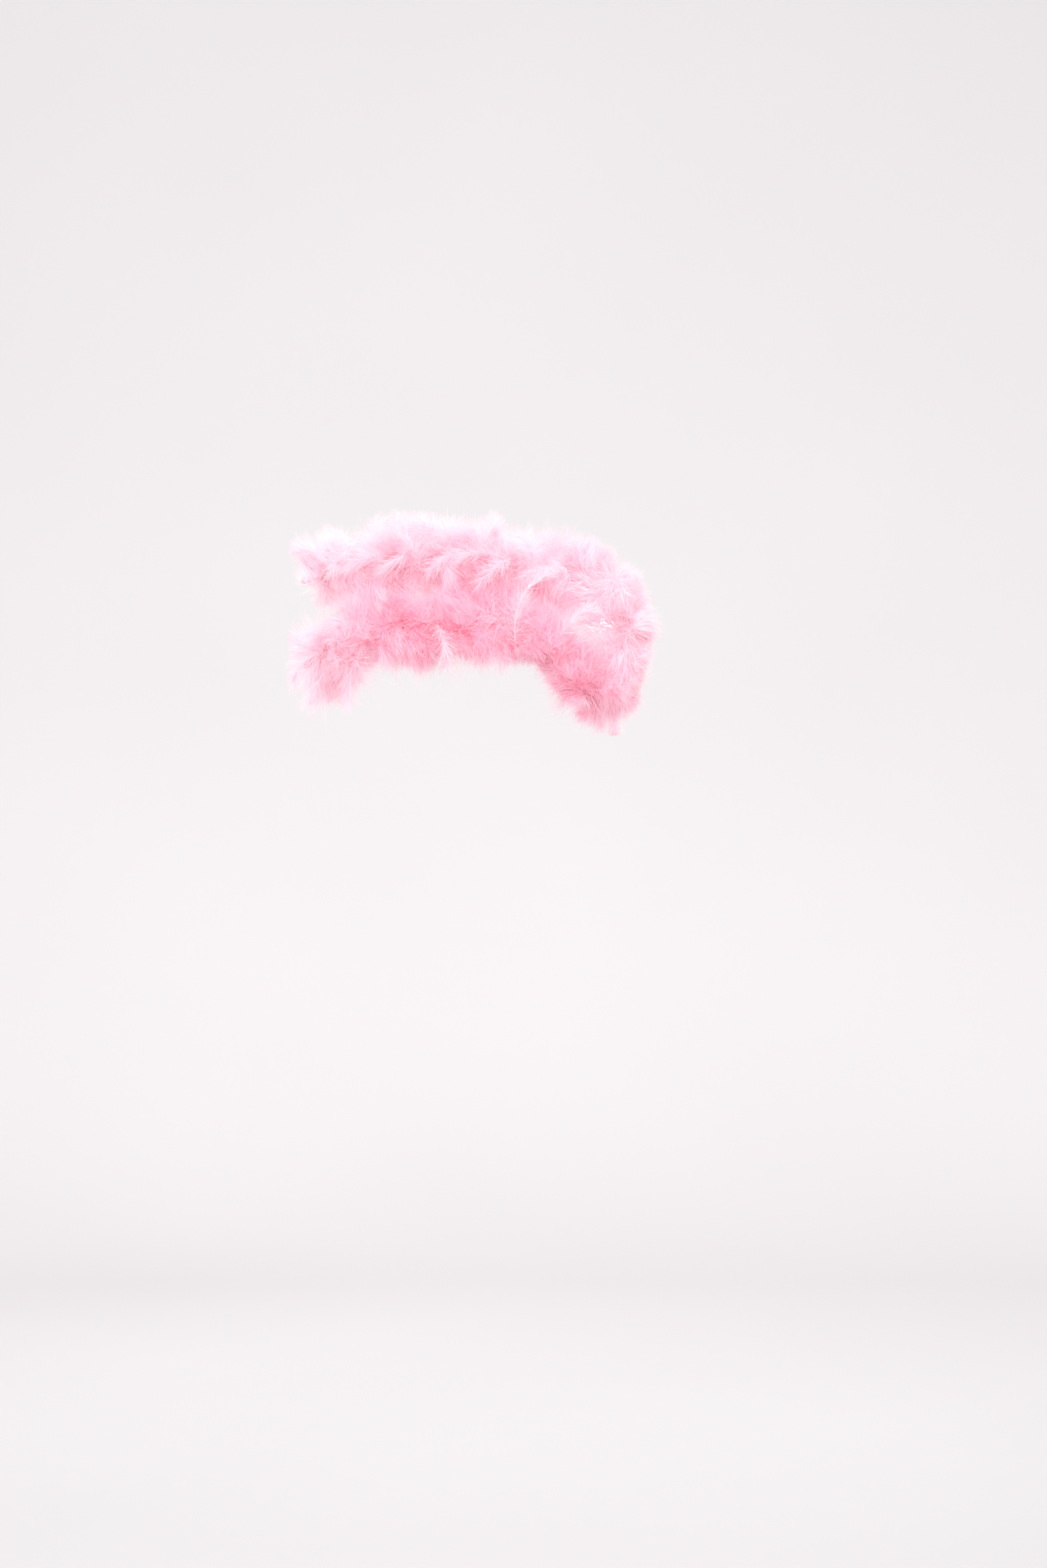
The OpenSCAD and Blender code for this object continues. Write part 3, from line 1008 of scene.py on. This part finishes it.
FRAME_CENTRE = np.array([36, 0, -198]) * MM
FRAME_HEIGHT = 1424 * MM
CAMERA_DISTANCE = 2.6
SENSOR = 36.0
LAMP_AIM = np.array([0, 0, -50]) * MM
LAMP_SPREAD = math.radians(100)
# The studio's backdrop in metres: a floor that bends up into a wall.
FLOOR_Z = -1.0
FLOOR_FRONT_Y = -5.0
WALL_Y = 3.0
WALL_TOP_Z = 4.0
BACKDROP_HALF_WIDTH = 10.0
BEND_R = 1.0
BEND_STEPS = 12


def make_camera():
    """Looks straight at the boa, as it hangs."""
    data = bpy.data.cameras.new("camera")
    data.sensor_width = SENSOR
    data.lens = SENSOR / 2 / (FRAME_HEIGHT / 2 / CAMERA_DISTANCE)
    camera = bpy.data.objects.new("camera", data)
    camera.location = (FRAME_CENTRE[0], -CAMERA_DISTANCE, FRAME_CENTRE[2])
    camera.rotation_euler = (math.pi / 2, 0, 0)
    bpy.context.scene.collection.objects.link(camera)
    bpy.context.scene.camera = camera


def make_light(name, place, size, power):
    """A soft square lamp at place that shines at the boa."""
    data = bpy.data.lights.new(name, "AREA")
    data.shape = "SQUARE"
    data.size = size
    data.energy = power
    data.spread = LAMP_SPREAD
    lamp = bpy.data.objects.new(name, data)
    lamp.location = place
    way = LAMP_AIM - np.array(place)
    flat = math.hypot(way[0], way[1])
    lamp.rotation_euler = (math.atan2(flat, -way[2]), 0, math.atan2(way[1], way[0]) - math.pi / 2)
    bpy.context.scene.collection.objects.link(lamp)


def make_studio():
    """A pale floor that turns up into a wall far behind, a pale world and soft lamps."""
    profile = [(FLOOR_FRONT_Y, FLOOR_Z)]
    for step in range(BEND_STEPS + 1):
        angle = step / BEND_STEPS * math.pi / 2
        y = WALL_Y - BEND_R * (1 - math.sin(angle))
        profile.append((y, FLOOR_Z + BEND_R * (1 - math.cos(angle))))
    profile.append((WALL_Y, WALL_TOP_Z))
    sides = (-BACKDROP_HALF_WIDTH, BACKDROP_HALF_WIDTH)
    points = [(x, y, z) for y, z in profile for x in sides]
    faces = [(2 * k, 2 * k + 1, 2 * k + 3, 2 * k + 2) for k in range(len(profile) - 1)]
    mesh = bpy.data.meshes.new("studio")
    mesh.from_pydata(points, [], faces)
    mesh.polygons.foreach_set("use_smooth", [True] * len(faces))
    backdrop = bpy.data.objects.new("studio", mesh)
    backdrop.data.materials.append(paper_material())
    bpy.context.scene.collection.objects.link(backdrop)

    world = bpy.data.worlds.new("world")
    world.use_nodes = True
    world.node_tree.nodes["Background"].inputs["Color"].default_value = (1.0, 0.985, 0.98, 1.0)
    world.node_tree.nodes["Background"].inputs["Strength"].default_value = 0.92
    bpy.context.scene.world = world
    make_light("key", (0.9, -3.0, 1.2), 2.4, 26)
    make_light("fill", (-1.2, -2.7, -0.6), 1.8, 9)
    make_light("top", (0.2, -1.6, 1.9), 1.6, 6)
    make_light("back", (-0.5, 2.3, 0.9), 1.6, 8)


def settings():
    """Plain colours, and enough bounces for light to fill the pale down."""
    scene = bpy.context.scene
    scene.view_settings.view_transform = "Standard"
    scene.cycles.max_bounces = 32
    scene.cycles.diffuse_bounces = 16
    scene.cycles.transmission_bounces = 16


DOWN = down_material()
STRING = thread_material("twisted_cotton", (0.80, 0.36, 0.48), (0.96, 0.66, 0.76), 0.75, 0.95, 0.4)
THREAD = thread_material("binding_thread", (0.76, 0.24, 0.38), (0.93, 0.46, 0.58), 0.38, 0.60, 0.1)
TACKING = thread_material("tacking_thread", (0.86, 0.42, 0.52), (0.98, 0.66, 0.74), 0.40, 0.62, 0.1)
QUILL = quill_material()
GLUE = glue_material()

make_camera()
make_studio()
settings()
make_quills([make_down(tuft, DOWN) for tuft in range(TUFT_COUNT)], QUILL)
make_long_plumes(DOWN, QUILL)
make_bare_quills(QUILL)
make_strings(STRING)
make_binding(THREAD)
make_end("upper_end", SEAL_LENGTH + WHIPPING_LENGTH / 2, -1, THREAD, GLUE)
make_end("front_end", BOA_LENGTH - SEAL_LENGTH - WHIPPING_LENGTH / 2, 1, THREAD, GLUE)
make_tacks(TACKING)
